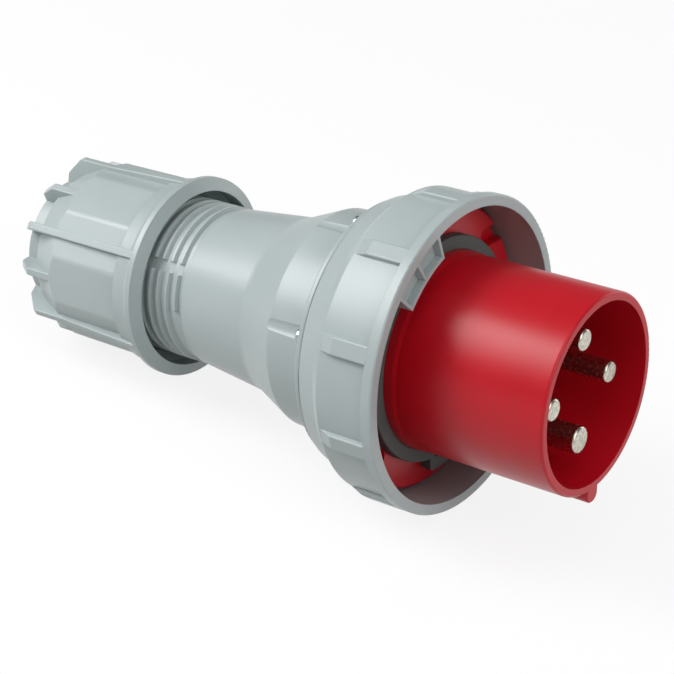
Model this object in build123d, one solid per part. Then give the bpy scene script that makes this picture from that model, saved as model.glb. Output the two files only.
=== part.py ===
# Industrial pin and sleeve plug with a bayonet locking ring and a cable gland.
# Millimetres. The axis lies along X and the mating end points to +X. X = 0 is the sleeve's front rim.
# Clock angles are seen from the mating end: 0 is 12 o'clock (+Z) and 90 is 3 o'clock (+Y).

import os
from math import cos, radians, sin

from build123d import *

# Clearances
slide_gap = 0.10
turn_gap = 0.35
thread_gap = 0.40
seat_gap = 0.02
screw_gap = 0.05
sink = 0.60
outer_share = 0.60

# Sleeve and contact insert
sleeve_r = 35.5
sleeve_wall = 3.0
sleeve_depth = 66.0
rim_round = 0.9
root_collar_step = 0.4
root_collar_length = 9.0
root_collar_ramp = 1.6
floor_depth = 54.0
floor_thick = 8.0
flange_step = 4.95
flange_thick = 5.0
flange_chamfer = 1.3
key_width = 6.9
key_height = 4.8
key_side_round = 3.3
key_front_round = 0.4
spigot_step = 4.5
spigot_wall = 3.0
spigot_length = 13.0
spigot_groove_width = 2.4
spigot_groove_depth = 1.6

# Screws from the housing lip into the flange; the flange has open slots on the same circle
insert_screw_setout = 4.5
insert_screw_clocks = (-73.5, -13.5, 106.5, 166.5)
insert_screw_r = 1.75
insert_screw_web = 0.8
insert_head_r = 2.8
insert_head_height = 2.0
driver_way_r = 4.6
flange_slot_clocks = (46.5, -133.5)
flange_slot_width = 7.2
flange_slot_depth = 4.0

# Contact pins and their terminals
pin_circle = 18.5
pin_recess = 5.5
phase_r = 4.0
earth_r = 5.0
phase_clocks = (0.0, 90.0, -90.0)
earth_clock = 180.0
pin_tip_round = 1.0
pin_shank_step = 0.5
pin_collar_step = 3.6
pin_collar_thick = 2.5
barrel_step = 2.8
barrel_length = 26.0
wire_hole_step = 0.4
wire_hole_depth = 15.0
terminal_screw_r = 2.5
terminal_screw_length = 6.5
terminal_screw_from_end = 7.5
driver_slot_width = 0.8
driver_slot_depth = 1.2

# Contact plate behind the floor
plate_thick = 4.0
plate_margin = 0.5
tower_wall = 2.0
tower_setback = 5.0
tower_window = 7.0
window_gap = 2.0
plate_screw_circle = 25.0
plate_screw_clocks = (45.0, -135.0)
plate_screw_r = 1.5
plate_screw_length = 9.0
plate_head_r = 2.8
plate_head_height = 1.8

# Face gasket round the root of the sleeve
gasket_width = 4.9
gasket_proud = 4.2
gasket_tab_wall = 3.05
gasket_tab_reach = 4.6
gasket_round = 0.6

# Locking ring
ring_overhang = 14.0
ring_flange_gap = 1.25
ring_wall = 2.15
ring_rim_length = 4.0
ring_panel_length = 23.5
ring_shoulder_length = 4.0
ring_shoulder_rise = 2.4
ring_tail_wall = 2.2
ring_tail_gap = 1.0
ring_bore_length = 22.0
ring_edge_round = 0.6
bar_count = 10
bar_phase = 1.2
bar_width = 6.3
bar_height = 1.8
bar_length = 18.0
bar_slope_length = 5.0
lug_clock_start = -20.0
lug_arc = 29.5
lug_reach = 9.25
lug_length = 8.5
lug_pocket_depth = 3.0
lug_wall = 1.3
lug_count = 2

# Rear housing
neck_wall = 6.95
neck_length = 17.0
lip_height = 7.0
lip_thick = 2.2
bell_step = 0.9
bell_length = 20.0
bell_draft = 0.45
bell_round = 2.0
flare_length = 17.3
waist_rise = 3.35
waist_round = 10.0
waist_length = 30.7
tail_step = 1.2
tail_length = 50.0
housing_wall = 3.2
seal_pocket_wall = 2.7
seal_pocket_depth = 19.0
seal_seat_width = 4.5
seal_seat_thick = 3.0

# Gland thread
thread_pitch = 4.15
thread_core_r = 28.7
thread_height = 1.3
thread_base_width = 2.5
thread_crest_width = 1.1
thread_front_relief = 1.3
thread_back_relief = 1.5
ridge_at_nine = -163.55
parting_clocks = (-60.0, 120.0)
parting_width = 4.2

# Gland nut
nut_overlap = 34.4
nut_bevel_length = 2.1
nut_bevel_height = 4.8
nut_flange_edge = 2.2
nut_flange_height = 2.5
nut_flange_run = 1.2
nut_root_round = 3.0
nut_wall = 5.5
nut_neck_start = 8.1
nut_mouth_depth = 6.5
nut_corner_drop = 0.2
nut_sides = 12
nut_corner_round = 4.0
nut_taper = 0.5
nut_grip_length = 30.0
nut_cone_length = 14.5
nut_cone_wall = 2.1
nut_tail_length = 8.3
nut_tail_step = 4.2
nut_seat_ahead = 3.5
nut_seat_step = 1.3
nut_seat_cone = 8.0
cable_hole_step = 3.0
cable_hole_flare = 1.2
nut_thread_length = 21.0
nut_thread_start = 9.4
fin_width = 3.1
fin_count = 6
fin_edge_round = 0.5
fin_front_height = 1.8
fin_height = 0.1
fin_flat_length = 7.3
fin_slope_end = 0.8
fin_slope_height = 4.3
fin_corner = 1.8
short_fin_drop = 1.9

# Seal and thrust ring in the gland
seal_bore_r = 17.5
seal_length = 16.0
seal_chamfer = 2.0
thrust_thick = 4.0
thrust_nose = 3.0

# Stations along the axis that follow from the sizes above
flange_front = -sleeve_depth
flange_back = flange_front - flange_thick
floor_front = -floor_depth
floor_back = floor_front - floor_thick
spigot_back = flange_back - spigot_length
plate_front = floor_back - seat_gap
plate_back = plate_front - plate_thick
barrel_back = floor_back - barrel_length
terminal_screw_x = barrel_back + terminal_screw_from_end
tower_back = barrel_back + tower_setback
lip_front = flange_back - neck_length
lip_back = lip_front - lip_thick
bell_back = lip_front - bell_length
waist_front = bell_back - flare_length
tail_front = waist_front - waist_length
mouth_x = tail_front - tail_length
thread_front = tail_front - thread_front_relief
thread_back = mouth_x + thread_back_relief
ring_front = flange_front + ring_overhang
ring_rim_back = ring_front - ring_rim_length
ring_shoulder_start = ring_front - ring_panel_length
ring_shoulder_end = ring_shoulder_start - ring_shoulder_length
ring_back = lip_front + ring_tail_gap
bar_back = ring_front - bar_length
nut_face_x = mouth_x + nut_overlap
nut_flange_x = nut_face_x - nut_bevel_length
nut_flange_back = nut_flange_x - nut_flange_edge
nut_neck_x = nut_flange_back - nut_neck_start
nut_shoulder_x = nut_neck_x - nut_grip_length
nut_cone_x = nut_shoulder_x - nut_cone_length
nut_tail_x = nut_cone_x - nut_tail_length
nut_seat_x = nut_cone_x + nut_seat_ahead
nut_thread_front = nut_face_x - nut_thread_start
nut_thread_back = nut_thread_front - nut_thread_length
fin_top_x = nut_tail_x + fin_flat_length
fin_slope_x = nut_tail_x + fin_slope_end

# Radii that follow from the sizes above
collar_r = sleeve_r + root_collar_step
sleeve_bore_r = sleeve_r - sleeve_wall
spigot_r = sleeve_r + spigot_step
spigot_bore_r = spigot_r - spigot_wall - spigot_groove_depth
neck_bore_r = spigot_r + slide_gap
neck_r = neck_bore_r + neck_wall
flange_r = neck_r + flange_step
insert_screw_circle = neck_bore_r + insert_screw_setout
bell_r = neck_bore_r + bell_step
bell_back_r = bell_r - bell_draft
lip_r = bell_r + lip_height
ring_running_r = neck_r + turn_gap
ring_tail_r = ring_running_r + ring_tail_wall
ring_bore_r = flange_r + ring_flange_gap
ring_panel_r = ring_bore_r + ring_wall
ring_rim_r = ring_panel_r + bar_height
ring_shoulder_r = ring_tail_r + ring_shoulder_rise
tail_front_r = thread_core_r + tail_step
waist_front_r = tail_front_r + waist_rise
seal_pocket_r = thread_core_r - seal_pocket_wall
seal_seat_r = seal_pocket_r - seal_seat_width
thread_crest_r = thread_core_r + thread_height
nut_root_r = thread_crest_r + thread_gap
nut_neck_r = nut_root_r + nut_wall
nut_corner_r = nut_neck_r - nut_corner_drop
nut_flange_r = nut_neck_r + nut_flange_height
nut_mouth_r = nut_flange_r - nut_bevel_height
nut_seat_r = seal_pocket_r + nut_seat_step
nut_cone_r = nut_seat_r + nut_cone_wall
nut_tail_r = nut_cone_r - nut_tail_step
cable_hole_r = seal_bore_r + cable_hole_step
fin_outer_r = nut_neck_r + fin_height
fin_slope_r = nut_tail_r + fin_slope_height


# Cylinder on the plug's axis between two stations
def disc(back, front, radius):
    return Pos((back + front) / 2, 0, 0) * Rot(0, 90, 0) * Cylinder(radius, front - back)


# Round wall on the plug's axis
def tube(back, front, outer, inner):
    return disc(back, front, outer) - disc(back, front, inner)


# Face above the axis from (X, height) corners; a third value rounds its corner
def profile(*corners):
    points = [corner[:2] for corner in corners]
    rounding = [corner[2] if len(corner) == 3 else 0 for corner in corners]
    return Plane.XZ * make_face(FilletPolyline(*points, radius=rounding, close=True))


# Solid turned from (X, radius) corners
def turned(*corners, arc=360.0):
    return revolve(profile(*corners), Axis.X, revolution_arc=arc)


# Part made at 12 o'clock, carried round to a clock angle
def at_clock(clock, part):
    return Rot(-clock, 0, 0) * part


# Cross plane of the plug at a station: local x is +Y and local y is +Z
def cross_plane(x):
    return Plane(origin=(x, 0, 0), x_dir=(0, 1, 0), z_dir=(1, 0, 0))


# Block of a given width at 12 o'clock from (X, height) corners, its outer edges rounded
def upright(width, edge_round, *corners):
    block = extrude(profile(*corners), width / 2, both=True)
    heights = [corner[1] for corner in corners]
    lowest_rounded = min(heights) + outer_share * (max(heights) - min(heights))
    edges = block.edges().filter_by(Axis.Y, reverse=True)
    return fillet(edges.filter_by_position(Axis.Z, lowest_rounded, max(heights)), edge_round)


# One helical ridge; a negative height points inwards
def helical_ridge(radius, height, back, front, centre_at_nine):
    turns_back = (centre_at_nine - back) // thread_pitch
    start = centre_at_nine - turns_back * thread_pitch
    length = ((front - start) // thread_pitch) * thread_pitch
    path = Edge.make_helix(thread_pitch, length, radius, (start, 0, 0), (1, 0, 0))
    first = path @ 0
    radial = Vector(0, first.Y, first.Z).normalized()
    section_plane = Plane(first, x_dir=(1, 0, 0), z_dir=Vector(1, 0, 0).cross(radial))
    base, crest = thread_base_width / 2, thread_crest_width / 2
    under = -sink if height > 0 else sink
    foot = base + (base - crest) * sink / abs(height)
    outline = Polyline((-foot, under), (foot, under), (crest, height), (-crest, height), close=True)
    ridge = sweep(section_plane * make_face(outline), path=path, is_frenet=True)
    start_turn = Vector(0, 0, 1).get_signed_angle(radial, Vector(1, 0, 0))
    return Rot(90.0 - start_turn, 0, 0) * ridge


# Round-headed screw along -X, its seat at X = 0
def pan_screw(shank_r, length, head_r, head_height):
    head = disc(0, head_height, head_r)
    head = fillet(head.edges().group_by(Axis.X)[-1], head_height / 2)
    slot = Pos(head_height, 0, 0) * Box(driver_slot_depth, driver_slot_width, 2 * head_r)
    shank = disc(-length, 0, shank_r)
    return head + chamfer(shank.edges().group_by(Axis.X)[0], shank_r / 3) - slot


# Red contact insert: sleeve, key, floor, flange and spigot in one moulding
def insert_body():
    sleeve = disc(flange_back, 0, sleeve_r)
    sleeve = fillet(sleeve.edges().group_by(Axis.X)[-1], rim_round)
    collar_front = flange_front + root_collar_length
    collar = turned((flange_front, 0), (collar_front, 0), (collar_front, sleeve_r),
                    (collar_front - root_collar_ramp, collar_r), (flange_front, collar_r))
    flange = disc(flange_back, flange_front, flange_r)
    flange = chamfer(flange.edges().group_by(Axis.X)[-1], flange_chamfer)
    spigot = disc(spigot_back, flange_back, spigot_r)
    groove_back = spigot_back + spigot_wall
    groove = tube(groove_back, groove_back + spigot_groove_width, spigot_r + sink,
                  spigot_r - spigot_groove_depth)
    body = sleeve + collar + flange + sleeve_key() + spigot - groove
    socket = disc(floor_front, sink, sleeve_bore_r)
    body -= fillet(socket.edges().group_by(Axis.X)[0], rim_round)
    body -= disc(flange_back, floor_back, sleeve_bore_r)
    body -= disc(spigot_back - sink, flange_back, spigot_bore_r)
    return body - pin_seats() - insert_screw_holes() - flange_slots() - plate_screw_holes()


# Rounded key along the bottom of the sleeve
def sleeve_key():
    key_r = sleeve_r + key_height
    key = Pos(flange_front / 2, 0, -key_r / 2) * Box(sleeve_depth, key_width, key_r)
    key = fillet(key.edges().filter_by(Axis.X).group_by(Axis.Z)[0], key_side_round)
    return chamfer(key.edges().group_by(Axis.X)[-1], key_front_round)


# Holes in the floor for the pins, each with the seat of its collar
def pin_seats():
    seats = Part()
    for clock in (*phase_clocks, earth_clock):
        radius = earth_r if clock == earth_clock else phase_r
        hole = disc(floor_back - sink, floor_front + sink, radius + pin_shank_step + slide_gap)
        seat = disc(floor_back - sink, floor_back + pin_collar_thick, radius + pin_collar_step + slide_gap)
        seats += at_clock(clock, Pos(0, 0, pin_circle) * (hole + seat))
    return seats


# Slots in the flange face, level with the plug's sides, closed by a half round and open at the edge
def flange_slots():
    outline = Circle(flange_slot_width / 2) + Pos(flange_r / 2, 0) * Rectangle(flange_r, flange_slot_width)
    slots = Part()
    for clock in flange_slot_clocks:
        y, z = insert_screw_circle * sin(radians(clock)), insert_screw_circle * cos(radians(clock))
        plane = cross_plane(flange_front) * Pos(y, z) * Rot(0, 0, 0 if y > 0 else 180)
        slots += extrude(plane * outline, -flange_slot_depth)
    return slots


# Blind holes in the back of the flange
def insert_screw_holes():
    hole = disc(flange_back - sink, flange_front - insert_screw_web, insert_screw_r + screw_gap)
    return on_screw_circle(hole)


# Copies of a part at the insert screws
def on_screw_circle(part):
    return [at_clock(clock, Pos(0, 0, insert_screw_circle) * part) for clock in insert_screw_clocks]


# Screws through the housing lip and neck into the flange
def insert_screws():
    seat = lip_back - seat_gap
    tip = flange_front - insert_screw_web - thread_gap
    screw = pan_screw(insert_screw_r, tip - seat, insert_head_r, insert_head_height)
    return on_screw_circle(Pos(seat, 0, 0) * Rot(0, 180, 0) * screw)


# Blind holes in the back of the floor
def plate_screw_holes():
    depth = plate_screw_length - plate_thick + sink
    hole = disc(floor_back - sink, floor_back + depth, plate_screw_r + screw_gap)
    return [at_clock(clock, Pos(0, 0, plate_screw_circle) * hole) for clock in plate_screw_clocks]


# Plate that clamps the pin collars, with an insulating tower round each terminal
def contact_plate():
    plate = disc(plate_back, plate_front, sleeve_bore_r - slide_gap)
    plate = chamfer(plate.edges().group_by(Axis.X)[0], plate_margin)
    for clock in (*phase_clocks, earth_clock):
        barrel = (earth_r if clock == earth_clock else phase_r) + barrel_step + slide_gap
        tower = disc(tower_back, plate_back, barrel + tower_wall)
        window = Pos(terminal_screw_x, 0, barrel + tower_wall)
        window *= Box(2 * (terminal_screw_r + window_gap), tower_window, 2 * (tower_wall + sink))
        hole = disc(tower_back - sink, plate_front + sink, barrel)
        plate += at_clock(clock, Pos(0, 0, pin_circle) * (tower - window))
        plate -= at_clock(clock, Pos(0, 0, pin_circle) * hole)
    hole = disc(plate_back - sink, plate_front + sink, plate_screw_r + slide_gap)
    return plate - [at_clock(clock, Pos(0, 0, plate_screw_circle) * hole) for clock in plate_screw_clocks]


def plate_screws():
    screw = pan_screw(plate_screw_r, plate_screw_length, plate_head_r, plate_head_height)
    placed = Pos(plate_back - seat_gap, 0, plate_screw_circle) * Rot(0, 180, 0) * screw
    return [at_clock(clock, placed) for clock in plate_screw_clocks]


# Solid pin with its collar, terminal barrel, wire hole and screw hole
def contact_pin(radius):
    shaft = disc(floor_front, -pin_recess, radius)
    shaft = fillet(shaft.edges().group_by(Axis.X)[-1], pin_tip_round)
    shank = disc(floor_back, floor_front, radius + pin_shank_step)
    collar = disc(floor_back, floor_back + pin_collar_thick - seat_gap, radius + pin_collar_step)
    barrel = disc(barrel_back, floor_back, radius + barrel_step)
    barrel = chamfer(barrel.edges().group_by(Axis.X)[0], driver_slot_width)
    wire = disc(barrel_back, barrel_back + wire_hole_depth, radius + wire_hole_step)
    screw_hole = Pos(terminal_screw_x, 0, radius + barrel_step)
    screw_hole *= Cylinder(terminal_screw_r + screw_gap, 2 * barrel_step)
    return Pos(0, 0, pin_circle) * (shaft + shank + collar + barrel - wire - screw_hole)


# Grub screw that clamps the wire in a terminal
def terminal_screw(radius):
    screw = Cylinder(terminal_screw_r, terminal_screw_length)
    screw = chamfer(screw.edges(), terminal_screw_r / 6)
    slot = Box(2 * terminal_screw_r, driver_slot_width, driver_slot_depth)
    slot = Pos(0, 0, terminal_screw_length / 2) * slot
    height = pin_circle + radius + barrel_step + terminal_screw_length / 4
    return Pos(terminal_screw_x, 0, height) * (screw - slot)


# Rubber gasket round the sleeve root, with a tab that wraps the key
def face_gasket():
    inner = collar_r + slide_gap
    back, front = flange_front + seat_gap, flange_front + gasket_proud
    band = disc(back, front, inner + gasket_width)
    band = fillet(band.edges().group_by(Axis.X)[-1], gasket_round)
    reach = inner + gasket_width + gasket_tab_reach
    tab_width = key_width + 2 * gasket_tab_wall
    tab = Pos((back + front) / 2, 0, -reach / 2) * Box(front - back, tab_width, reach)
    tab = fillet(tab.edges().filter_by(Axis.X).group_by(Axis.Z)[0], gasket_tab_reach / 2)
    slot = Pos(back, 0, -sleeve_r)
    slot *= Box(4 * gasket_proud, key_width + 2 * slide_gap, 2 * (key_height + slide_gap))
    return band + tab - slot - disc(back - sink, front + sink, inner)


# Square-section ring in the spigot groove
def housing_seal():
    back = spigot_back + spigot_wall + seat_gap
    width = spigot_groove_width - 2 * seat_gap
    inner = spigot_r - spigot_groove_depth + seat_gap
    ring = tube(back, back + width, neck_bore_r - seat_gap, inner)
    return fillet(ring.edges(), spigot_groove_depth / 5)


# Grey locking ring: rim, panels, shoulder, grip bars and bayonet lugs
def locking_ring():
    ring = turned((ring_front, 0), (ring_front, ring_rim_r, ring_edge_round), (ring_rim_back, ring_rim_r),
                  (ring_rim_back, ring_panel_r), (ring_shoulder_start, ring_panel_r, ring_edge_round),
                  (ring_shoulder_end, ring_shoulder_r, ring_shoulder_length / 4),
                  (ring_back, ring_tail_r, ring_edge_round), (ring_back, 0))
    bar = upright(bar_width, ring_edge_round, (ring_rim_back, ring_bore_r), (ring_rim_back, ring_rim_r),
                  (bar_back, ring_rim_r), (bar_back - bar_slope_length, ring_panel_r),
                  (bar_back - bar_slope_length, ring_bore_r))
    step = 360.0 / bar_count
    ring += [at_clock(bar_phase + i * step, bar) for i in range(bar_count)]
    ring -= ring_bore()
    for i in range(lug_count):
        ring += at_clock(lug_clock_start + i * 360.0 / lug_count, bayonet_lug())
    return ring


# Inside of the ring: wide bore over the flange, cone, then the running bore on the neck
def ring_bore():
    bore_end = ring_front - ring_bore_length
    running_front = ring_back + ring_rim_length - ring_tail_gap
    return turned((ring_front + sink, 0), (ring_front + sink, ring_bore_r), (bore_end, ring_bore_r),
                  (ring_shoulder_end, ring_shoulder_r - ring_wall), (running_front, ring_running_r),
                  (ring_back - sink, ring_running_r), (ring_back - sink, 0))


# Hollow lug from 12 o'clock, with two pockets open to the front
def bayonet_lug():
    inner = ring_bore_r - lug_reach
    block = sector(ring_front - lug_length, ring_front, inner, ring_bore_r + sink, lug_arc)
    wall_arc = lug_wall / radians(1) / ring_bore_r
    pocket_arc = (lug_arc - 3 * wall_arc) / 2
    pocket = sector(ring_front - lug_pocket_depth, ring_front + sink, inner + lug_wall,
                    ring_bore_r - seat_gap, pocket_arc)
    first, second = wall_arc, 2 * wall_arc + pocket_arc
    return block - at_clock(-first, pocket) - at_clock(-second, pocket)


# Block between two radii, from 12 o'clock towards 9 o'clock
def sector(back, front, inner, outer, arc):
    return turned((back, inner), (front, inner), (front, outer), (back, outer), arc=arc)


# Corners of the bell, the flare and the waist, moved inwards by a wall
def bell_corners(inset):
    return [(lip_front, bell_r - inset), (bell_back, bell_back_r - inset, bell_round),
            (waist_front, waist_front_r - inset, waist_round), (tail_front, tail_front_r - inset)]


# Rear housing: neck, lip, bell with driver ways, flare, waist and threaded tail
def rear_housing():
    bell = turned((lip_front, 0), *bell_corners(0), (tail_front, 0))
    bell -= on_screw_circle(disc(waist_front, lip_back, driver_way_r))
    lip = disc(lip_back, lip_front, lip_r)
    lip = fillet(lip.edges(), lip_thick / 4)
    tail = disc(mouth_x, tail_front, thread_core_r)
    neck = disc(lip_back, flange_back - seat_gap, neck_r)
    housing = bell + lip + neck + tail - housing_bore()
    housing += gland_ridge()
    return housing - on_screw_circle(disc(lip_back - sink, flange_back, insert_screw_r + slide_gap))


# Housing thread, relieved along its two parting lines
def gland_ridge():
    ridge = helical_ridge(thread_core_r, thread_height, thread_back, thread_front, ridge_at_nine)
    length = thread_front - thread_back + 4 * thread_pitch
    relief = Box(length, parting_width, 2 * thread_height)
    relief = Pos((thread_front + thread_back) / 2, 0, thread_core_r + thread_height + seat_gap) * relief
    return ridge - [at_clock(clock, relief) for clock in parting_clocks]


# Inside of the housing: neck bore, wiring chamber, seal seat and seal pocket
def housing_bore():
    pocket_front = mouth_x + seal_pocket_depth
    seat_front = pocket_front + seal_seat_thick
    chamber_front = spigot_back - slide_gap
    return turned((0, 0), (0, neck_bore_r), (chamber_front, neck_bore_r),
                  (chamber_front, bell_r - housing_wall), *bell_corners(housing_wall),
                  (seat_front, seal_pocket_r - sink), (seat_front, seal_seat_r), (pocket_front, seal_seat_r),
                  (pocket_front, seal_pocket_r), (mouth_x - sink, seal_pocket_r), (mouth_x - sink, 0))


# Twelve-sided gland nut with long grip ribs, short fins and a stepped tail
def gland_nut():
    run_x = nut_flange_back - nut_flange_run
    run_r = nut_neck_r + (nut_flange_height - nut_flange_run) / 2
    blank = turned((nut_face_x, 0), (nut_face_x, nut_mouth_r), (nut_flange_x, nut_flange_r),
                   (nut_flange_back, nut_flange_r), (run_x, run_r, nut_root_round),
                   (nut_neck_x, nut_neck_r), (nut_shoulder_x, nut_neck_r), (nut_cone_x, nut_cone_r),
                   (nut_cone_x, nut_tail_r), (nut_tail_x, nut_tail_r), (nut_tail_x, 0))
    facets = RegularPolygon(nut_corner_r, nut_sides, rotation=180.0 / nut_sides)
    facets = fillet(facets.vertices(), nut_corner_round)
    prism = extrude(cross_plane(nut_neck_x) * facets, nut_tail_x - sink - nut_neck_x, taper=nut_taper)
    nut = blank & (prism + disc(nut_neck_x, 0, nut_flange_r + sink))
    half_step = 180.0 / fin_count
    for i in range(fin_count):
        nut += [at_clock(2 * i * half_step, long_fin()), at_clock((2 * i + 1) * half_step, short_fin())]
    nut -= nut_bore()
    return nut + helical_ridge(nut_root_r, -thread_height, nut_thread_back, nut_thread_front,
                               ridge_at_nine + thread_pitch / 2)


# Grip rib from the nut's flange to its tail
def long_fin():
    front = nut_flange_back + sink
    return nut_fin((front, nut_neck_r + fin_front_height), (nut_shoulder_x, fin_outer_r),
                   (fin_top_x, fin_outer_r, fin_corner))


# Fin on the tail between two ribs, its crest level with the flats
def short_fin():
    crest = fin_outer_r - short_fin_drop
    return nut_fin((nut_shoulder_x, crest), (fin_top_x, crest, fin_corner))


# Fin under the given crest corners, sloping down to the tail
def nut_fin(*crest):
    inside = cable_hole_r + 2 * sink
    return upright(fin_width, fin_edge_round, (crest[0][0], inside), *crest, (fin_slope_x, fin_slope_r),
                   (nut_tail_x, nut_tail_r), (nut_tail_x, inside))


# Inside of the nut: wide mouth, thread root, thrust seat and flared cable hole
def nut_bore():
    mouth_back = nut_face_x - nut_mouth_depth
    lead_in = nut_mouth_r - nut_root_r
    return turned((nut_face_x + sink, 0), (nut_face_x + sink, nut_mouth_r), (mouth_back, nut_mouth_r),
                  (mouth_back - lead_in, nut_root_r), (nut_seat_x + nut_seat_cone, nut_root_r),
                  (nut_seat_x, nut_seat_r), (nut_seat_x, cable_hole_r),
                  (nut_tail_x + cable_hole_flare, cable_hole_r),
                  (nut_tail_x - sink, cable_hole_r + cable_hole_flare + sink), (nut_tail_x - sink, 0))


# Rubber seal in the housing mouth
def gland_seal():
    front = mouth_x + seal_pocket_depth - seat_gap
    seal = disc(front - seal_length, front, seal_pocket_r - slide_gap)
    seal = chamfer(seal.edges().group_by(Axis.X)[0], seal_chamfer)
    return seal - disc(front - seal_length - sink, front + sink, seal_bore_r)


# Ring that takes the nut's push and presses the seal without turning
def gland_thrust_ring():
    back = nut_seat_x + seat_gap
    flange = disc(back, back + thrust_thick, nut_seat_r - turn_gap)
    nose = disc(back, back + thrust_thick + thrust_nose, seal_pocket_r - turn_gap)
    nose = chamfer(nose.edges().group_by(Axis.X)[-1], turn_gap)
    return flange + nose - disc(back - sink, 0, cable_hole_r)


def build_nodes():
    nodes = {
        "insert_body": insert_body(),
        "face_gasket": face_gasket(),
        "housing_seal": housing_seal(),
        "contact_plate": contact_plate(),
        "rear_housing": rear_housing(),
        "locking_ring": locking_ring(),
        "gland_nut": gland_nut(),
        "gland_thrust_ring": gland_thrust_ring(),
        "gland_seal": gland_seal(),
        "earth_pin": at_clock(earth_clock, contact_pin(earth_r)),
        "earth_terminal_screw": at_clock(earth_clock, terminal_screw(earth_r)),
    }
    for i, clock in enumerate(phase_clocks, 1):
        nodes[f"phase_pin_{i}"] = at_clock(clock, contact_pin(phase_r))
        nodes[f"phase_terminal_screw_{i}"] = at_clock(clock, terminal_screw(phase_r))
    for i, screw in enumerate(insert_screws(), 1):
        nodes[f"insert_screw_{i}"] = screw
    for i, screw in enumerate(plate_screws(), 1):
        nodes[f"plate_screw_{i}"] = screw
    return nodes


os.makedirs("parts", exist_ok=True)
for name, node in build_nodes().items():
    export_step(node, f"parts/{name}.step")
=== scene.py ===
import math

import bpy
from mathutils import Matrix, Vector

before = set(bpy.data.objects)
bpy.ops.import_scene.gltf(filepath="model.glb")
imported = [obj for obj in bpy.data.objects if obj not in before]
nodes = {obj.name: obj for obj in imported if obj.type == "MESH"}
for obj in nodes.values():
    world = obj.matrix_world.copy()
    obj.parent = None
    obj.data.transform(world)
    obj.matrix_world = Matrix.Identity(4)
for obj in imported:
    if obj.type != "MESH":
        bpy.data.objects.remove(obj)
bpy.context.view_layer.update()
bpy.ops.object.select_all(action="DESELECT")
print("plug loaded:", len(nodes), "nodes")

mm = 0.001
white = (1, 1, 1, 1)


def hexToLinear(code):
    channels = [int(code[i:i + 2], 16) / 255 for i in (1, 3, 5)]
    linear = [c / 12.92 if c <= 0.04045 else ((c + 0.055) / 1.055) ** 2.4 for c in channels]
    return (*linear, 1.0)


def addNode(tree, kind, settings=None, links=None):
    # settings: attributes by name, sockets by "in:Name"; links: socket name or number -> output socket
    node = tree.nodes.new(kind)
    for name, value in (settings or {}).items():
        if name.startswith("in:"):
            node.inputs[name[3:]].default_value = value
        else:
            setattr(node, name, value)
    for name, output in (links or {}).items():
        tree.links.new(output, node.inputs[name])
    return node


def perMetre(sizeMm):
    # texture scale for a pattern of that size on Object coordinates in metres
    return 1.0 / (sizeMm * mm)


def awayFromPlug(azimuth, elevation):
    # unit vector from the plug towards a viewer or lamp at those degrees; azimuth 0 is on the -Y side
    azimuth, elevation = math.radians(azimuth), math.radians(elevation)
    return Vector((math.sin(azimuth) * math.cos(elevation), -math.cos(azimuth) * math.cos(elevation),
                   math.sin(elevation)))


def startMaterial(name):
    material = bpy.data.materials.new(name)
    material.use_nodes = True
    tree = material.node_tree
    tree.nodes.clear()
    shader = addNode(tree, "ShaderNodeBsdfPrincipled")
    addNode(tree, "ShaderNodeOutputMaterial", links={"Surface": shader.outputs["BSDF"]})
    place = addNode(tree, "ShaderNodeTexCoord").outputs["Object"]
    return material, tree, shader, place


driftRange = (0.3, 0.7)  # the part of the drift's noise that the colours and the sheen are spread over


def moulded(name, look):
    # injection-moulded plastic or rubber: slow drift of colour, spark-eroded grain, satin sheen, soft edges
    material, tree, shader, place = startMaterial(name)
    drift = addNode(tree, "ShaderNodeTexNoise",
                    {"in:Scale": perMetre(look["driftMm"]), "in:Detail": 3.0, "in:Roughness": 0.55},
                    {"Vector": place})
    tint = addNode(tree, "ShaderNodeValToRGB", links={"Fac": drift.outputs["Fac"]})
    tint.color_ramp.elements[0].position = driftRange[0]
    tint.color_ramp.elements[1].position = driftRange[1]
    tint.color_ramp.elements[0].color = hexToLinear(look["dark"])
    tint.color_ramp.elements[1].color = hexToLinear(look["light"])
    grain = addNode(tree, "ShaderNodeTexNoise",
                    {"in:Scale": perMetre(look["grainMm"]), "in:Detail": 2.0, "in:Roughness": 0.6},
                    {"Vector": place})
    sheen = addNode(tree, "ShaderNodeMapRange",
                    {"in:From Min": driftRange[0], "in:From Max": driftRange[1],
                     "in:To Min": look["roughness"] - look["spread"],
                     "in:To Max": look["roughness"] + look["spread"]},
                    {"Value": drift.outputs["Fac"]})
    edges = addNode(tree, "ShaderNodeBevel", {"samples": 4, "in:Radius": look["edgeMm"] * mm})
    relief = addNode(tree, "ShaderNodeBump",
                     {"in:Strength": look["grainStrength"], "in:Distance": look["grainDepthMm"] * mm},
                     {"Height": grain.outputs["Fac"], "Normal": edges.outputs["Normal"]})
    tree.links.new(tint.outputs["Color"], shader.inputs["Base Color"])
    tree.links.new(sheen.outputs["Result"], shader.inputs["Roughness"])
    tree.links.new(relief.outputs["Normal"], shader.inputs["Normal"])
    shader.inputs["IOR"].default_value = look["ior"]
    return material


waveFactor = 20  # the Wave texture multiplies its scale by this before it takes the sine
hazeTint = (0.35, 0.65)  # the part of the haze's noise that the colours are spread over
hazeSheen = (0.2, 0.8)  # and the part for the sheen


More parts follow.
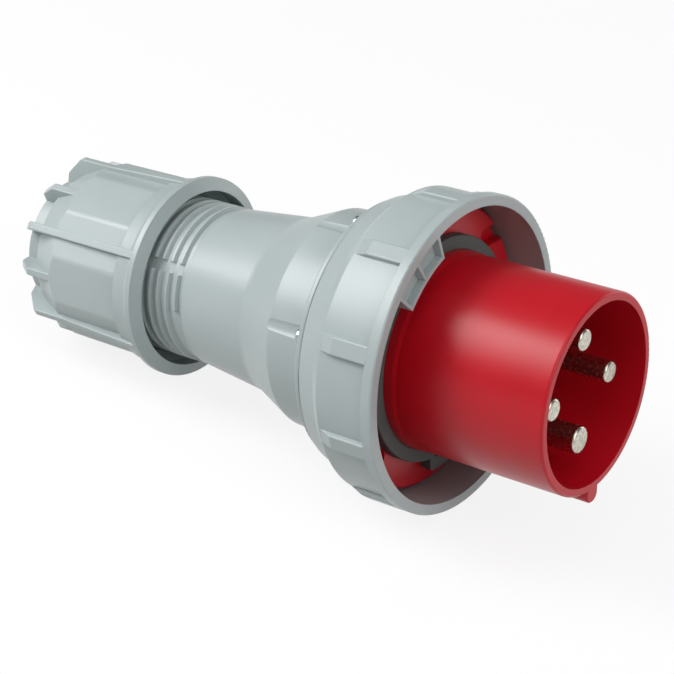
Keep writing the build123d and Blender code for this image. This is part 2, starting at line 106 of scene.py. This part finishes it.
def turnedMetal(name, look):
    # turned and plated metal: rings left by the lathe across the axis, drawn coarser than the real 0.2 mm
    material, tree, shader, place = startMaterial(name)
    rings = addNode(tree, "ShaderNodeTexWave",
                    {"wave_type": "BANDS", "bands_direction": "X",
                     "in:Scale": perMetre(look["toolMm"]) * 2 * math.pi / waveFactor,
                     "in:Distortion": 1.2, "in:Detail": 2.0, "in:Detail Scale": 1.5},
                    {"Vector": place})
    haze = addNode(tree, "ShaderNodeTexNoise", {"in:Scale": perMetre(look["hazeMm"]), "in:Detail": 3.0},
                   {"Vector": place})
    tint = addNode(tree, "ShaderNodeValToRGB", links={"Fac": haze.outputs["Fac"]})
    tint.color_ramp.elements[0].position = hazeTint[0]
    tint.color_ramp.elements[1].position = hazeTint[1]
    tint.color_ramp.elements[0].color = hexToLinear(look["dark"])
    tint.color_ramp.elements[1].color = hexToLinear(look["light"])
    sheen = addNode(tree, "ShaderNodeMapRange",
                    {"in:From Min": hazeSheen[0], "in:From Max": hazeSheen[1],
                     "in:To Min": look["roughness"] - look["spread"],
                     "in:To Max": look["roughness"] + look["spread"]},
                    {"Value": haze.outputs["Fac"]})
    relief = addNode(tree, "ShaderNodeBump",
                     {"in:Strength": look["toolStrength"], "in:Distance": look["toolDepthMm"] * mm},
                     {"Height": rings.outputs["Fac"]})
    tree.links.new(tint.outputs["Color"], shader.inputs["Base Color"])
    tree.links.new(sheen.outputs["Result"], shader.inputs["Roughness"])
    tree.links.new(relief.outputs["Normal"], shader.inputs["Normal"])
    shader.inputs["Metallic"].default_value = 1.0
    return material


# Polyamide from a spark-eroded mould: a soft broad highlight and an even, slightly cool grey
# Its grain is drawn coarser than the real 0.3 mm, so that it still shows
greyPolyamide = moulded("greyMouldedPolyamide", {
    "dark": "#A6B1B1", "light": "#AFBABA", "driftMm": 45, "grainMm": 0.9, "grainDepthMm": 0.02,
    "grainStrength": 0.35, "roughness": 0.34, "spread": 0.03, "edgeMm": 0.35, "ior": 1.53})

# The same polyamide dyed red, from a smoother mould: a deep colour under a thin sheen
redPolyamide = moulded("redMouldedPolyamide", {
    "dark": "#B80A1B", "light": "#C30C1F", "driftMm": 40, "grainMm": 0.9, "grainDepthMm": 0.015,
    "grainStrength": 0.3, "roughness": 0.34, "spread": 0.03, "edgeMm": 0.3, "ior": 1.43})

# Glass-filled polyamide, black: dull with a faint fibre haze
blackPolyamide = moulded("blackGlassFilledPolyamide", {
    "dark": "#1B1C1D", "light": "#232425", "driftMm": 12, "grainMm": 0.7, "grainDepthMm": 0.03,
    "grainStrength": 0.4, "roughness": 0.55, "spread": 0.05, "edgeMm": 0.2, "ior": 1.53})

# Chloroprene rubber: dark grey-green, soft wide sheen
greyRubber = moulded("chloropreneRubber", {
    "dark": "#434846", "light": "#505553", "driftMm": 15, "grainMm": 0.6, "grainDepthMm": 0.03,
    "grainStrength": 0.4, "roughness": 0.62, "spread": 0.05, "edgeMm": 0.3, "ior": 1.52})

# Cable seal rubber: nearly black, matt
blackRubber = moulded("mouldedSealRubber", {
    "dark": "#161616", "light": "#1F1F1F", "driftMm": 10, "grainMm": 0.6, "grainDepthMm": 0.03,
    "grainStrength": 0.4, "roughness": 0.7, "spread": 0.05, "edgeMm": 0.3, "ior": 1.52})

# Brass turned and nickel plated: warm silver with lathe rings, and mottled where the plating has dulled
nickelBrass = turnedMetal("nickelPlatedBrass", {
    "dark": "#B8B4A6", "light": "#DFDBCF", "toolMm": 3.1, "hazeMm": 1.3, "toolDepthMm": 0.01,
    "toolStrength": 0.25, "roughness": 0.26, "spread": 0.03})

# Steel with bright zinc: cool silver, slightly cloudy
zincSteel = turnedMetal("zincPlatedSteel", {
    "dark": "#AEB2B6", "light": "#C2C6CA", "toolMm": 2.5, "hazeMm": 2, "toolDepthMm": 0.01,
    "toolStrength": 0.2, "roughness": 0.32, "spread": 0.06})

finishes = {
    "insert_body": redPolyamide,
    "face_gasket": greyRubber,
    "housing_seal": greyRubber,
    "gland_seal": blackRubber,
    "contact_plate": blackPolyamide,
    "gland_thrust_ring": blackPolyamide,
    "rear_housing": greyPolyamide,
    "locking_ring": greyPolyamide,
    "gland_nut": greyPolyamide,
}
for name, node in nodes.items():
    if name in finishes:
        finish = finishes[name]
    elif "screw" in name:
        finish = zincSteel
    else:
        finish = nickelBrass
    node.data.materials.clear()
    node.data.materials.append(finish)
print("finishes set on the CAD nodes")


# Pale floor, tilted to touch the locking ring and the nut's fins, on which the plug lies
# The view sees its paint whiter than the light does, so that the shadow shows and the bounce stays low
floorSet = {"size": 40.0, "ringX": -70.0, "ringR": 57.3, "finX": -229.5, "finR": 36.1,
            "paint": "#BCBCBC", "seenPaint": "#FFFFFF", "glow": 0.85}


def makeFloor():
    low = Vector((floorSet["ringX"], 0, -floorSet["ringR"])) * mm
    high = Vector((floorSet["finX"], 0, -floorSet["finR"])) * mm
    slope = math.atan2(high.z - low.z, low.x - high.x)
    bpy.ops.object.select_all(action="DESELECT")
    bpy.ops.mesh.primitive_plane_add(size=floorSet["size"], location=low, rotation=(0, slope, 0))
    floor = bpy.context.object
    floor.name = "floor"
    material = bpy.data.materials.new("paintedFloor")
    material.use_nodes = True
    tree = material.node_tree
    tree.nodes.clear()
    ray = addNode(tree, "ShaderNodeLightPath").outputs
    level = addNode(tree, "ShaderNodeMapRange",
                    {"in:To Min": hexToLinear(floorSet["paint"])[0],
                     "in:To Max": hexToLinear(floorSet["seenPaint"])[0]}, {"Value": ray["Is Camera Ray"]})
    paint = addNode(tree, "ShaderNodeBsdfDiffuse", links={"Color": level.outputs["Result"]})
    glow = addNode(tree, "ShaderNodeEmission", {"in:Color": white, "in:Strength": 1.0})
    mirrored = addNode(tree, "ShaderNodeMath", {"operation": "MAXIMUM"},
                       {0: ray["Is Glossy Ray"], 1: ray["Is Transmission Ray"]})
    seen = addNode(tree, "ShaderNodeMath", {"operation": "MAXIMUM"},
                   {0: ray["Is Camera Ray"], 1: mirrored.outputs["Value"]})
    share = addNode(tree, "ShaderNodeMapRange", {"in:To Max": floorSet["glow"]},
                    {"Value": seen.outputs["Value"]})
    blend = addNode(tree, "ShaderNodeMixShader",
                    links={"Fac": share.outputs["Result"], 1: paint.outputs["BSDF"],
                           2: glow.outputs["Emission"]})
    addNode(tree, "ShaderNodeOutputMaterial", links={"Surface": blend.outputs["Shader"]})
    floor.data.materials.append(material)


makeFloor()
print("floor laid")


# World: a pale room, dimmer behind the plug, and a near-white backdrop, as pale as the floor far away
worldSet = {"tone": "#FFFFFF", "keySide": (-0.30, -0.81, 0.50), "dim": 0.15, "bright": 0.30,
            "dimFrom": -0.4, "brightFrom": 0.6, "backdropSide": (-0.56, 0.75, -0.35),
            "backdropFrom": 0.90, "backdropTo": 0.99, "backdrop": 0.885}


def facing(tree, direction, side, low, high):
    # 0 to 1 as a direction turns towards a side
    dot = addNode(tree, "ShaderNodeVectorMath", {"operation": "DOT_PRODUCT"}, {0: direction})
    dot.inputs[1].default_value = side
    spread = addNode(tree, "ShaderNodeMapRange", {"in:From Min": low, "in:From Max": high},
                     {"Value": dot.outputs["Value"]})
    return spread.outputs["Result"]


def makeWorld():
    world = bpy.data.worlds.new("studio")
    bpy.context.scene.world = world
    world.use_nodes = True
    tree = world.node_tree
    tree.nodes.clear()
    toSky = addNode(tree, "ShaderNodeTexCoord").outputs["Generated"]
    lit = facing(tree, toSky, worldSet["keySide"], worldSet["dimFrom"], worldSet["brightFrom"])
    level = addNode(tree, "ShaderNodeMapRange",
                    {"in:To Min": worldSet["dim"], "in:To Max": worldSet["bright"]}, {"Value": lit})
    room = addNode(tree, "ShaderNodeBackground", {"in:Color": hexToLinear(worldSet["tone"])},
                   {"Strength": level.outputs["Result"]})
    backdrop = addNode(tree, "ShaderNodeBackground", {"in:Color": white, "in:Strength": worldSet["backdrop"]})
    ray = addNode(tree, "ShaderNodeLightPath").outputs
    mirrored = addNode(tree, "ShaderNodeMath", {"operation": "MAXIMUM"},
                       {0: ray["Is Glossy Ray"], 1: ray["Is Transmission Ray"]})
    behind = facing(tree, toSky, worldSet["backdropSide"], worldSet["backdropFrom"], worldSet["backdropTo"])
    reflected = addNode(tree, "ShaderNodeMath", {"operation": "MULTIPLY"},
                        {0: mirrored.outputs["Value"], 1: behind})
    seen = addNode(tree, "ShaderNodeMath", {"operation": "MAXIMUM"},
                   {0: ray["Is Camera Ray"], 1: reflected.outputs["Value"]})
    blend = addNode(tree, "ShaderNodeMixShader",
                    links={"Fac": seen.outputs["Value"], 1: room.outputs["Background"],
                           2: backdrop.outputs["Background"]})
    addNode(tree, "ShaderNodeOutputWorld", links={"Surface": blend.outputs["Shader"]})


makeWorld()

# Soft boxes round the plug's middle: angles in degrees, distance and size in metres, power in watts
lamps = {
    "keyBox": {"azimuth": -50.0, "elevation": 43.0, "distance": 1.3, "size": (0.62, 0.82), "power": 13.2},
    "topBox": {"azimuth": 40.0, "elevation": 62.0, "distance": 1.3, "size": (0.9, 0.9), "power": 3.0},
    "frontBox": {"azimuth": 78.0, "elevation": 22.0, "distance": 1.3, "size": (0.8, 0.8), "power": 5.7},
    "backBox": {"azimuth": 165.0, "elevation": 8.0, "distance": 1.3, "size": (0.9, 0.9), "power": 4.0},
}
plugMiddle = Vector((-0.11, 0, 0))


def makeLamps():
    for name, lamp in lamps.items():
        light = bpy.data.lights.new(name, "AREA")
        light.shape = "RECTANGLE"
        light.size, light.size_y = lamp["size"]
        light.energy = lamp["power"]
        box = bpy.data.objects.new(name, light)
        away = awayFromPlug(lamp["azimuth"], lamp["elevation"])
        box.location = plugMiddle + away * lamp["distance"]
        box.rotation_euler = away.to_track_quat("Z", "Y").to_euler()
        bpy.context.scene.collection.objects.link(box)


makeLamps()
print("world and lamps set")


# Camera: fitted to the circles of the plug's sleeve, ring and nut
cameraSet = {"azimuth": 36.6287, "elevation": 23.977, "roll": -0.0427, "distance": 0.67853,
             "right": -0.086493, "up": 0.019404, "lens": 109.35, "sensor": 36.0, "near": 0.01, "far": 40.0}


def makeCamera():
    back = awayFromPlug(cameraSet["azimuth"], cameraSet["elevation"])
    right = awayFromPlug(cameraSet["azimuth"] + 90, 0)
    up = back.cross(right)
    place = back * cameraSet["distance"] + right * cameraSet["right"] + up * cameraSet["up"]
    turn = Matrix((right, up, back)).transposed() @ Matrix.Rotation(math.radians(cameraSet["roll"]), 3, "Z")
    data = bpy.data.cameras.new("camera")
    data.lens = cameraSet["lens"]
    data.sensor_width = cameraSet["sensor"]
    data.clip_start, data.clip_end = cameraSet["near"], cameraSet["far"]
    camera = bpy.data.objects.new("camera", data)
    camera.matrix_world = Matrix.Translation(place) @ turn.to_4x4()
    bpy.context.scene.collection.objects.link(camera)
    bpy.context.scene.camera = camera


makeCamera()
bpy.context.scene.view_settings.view_transform = "Standard"
print("camera placed")
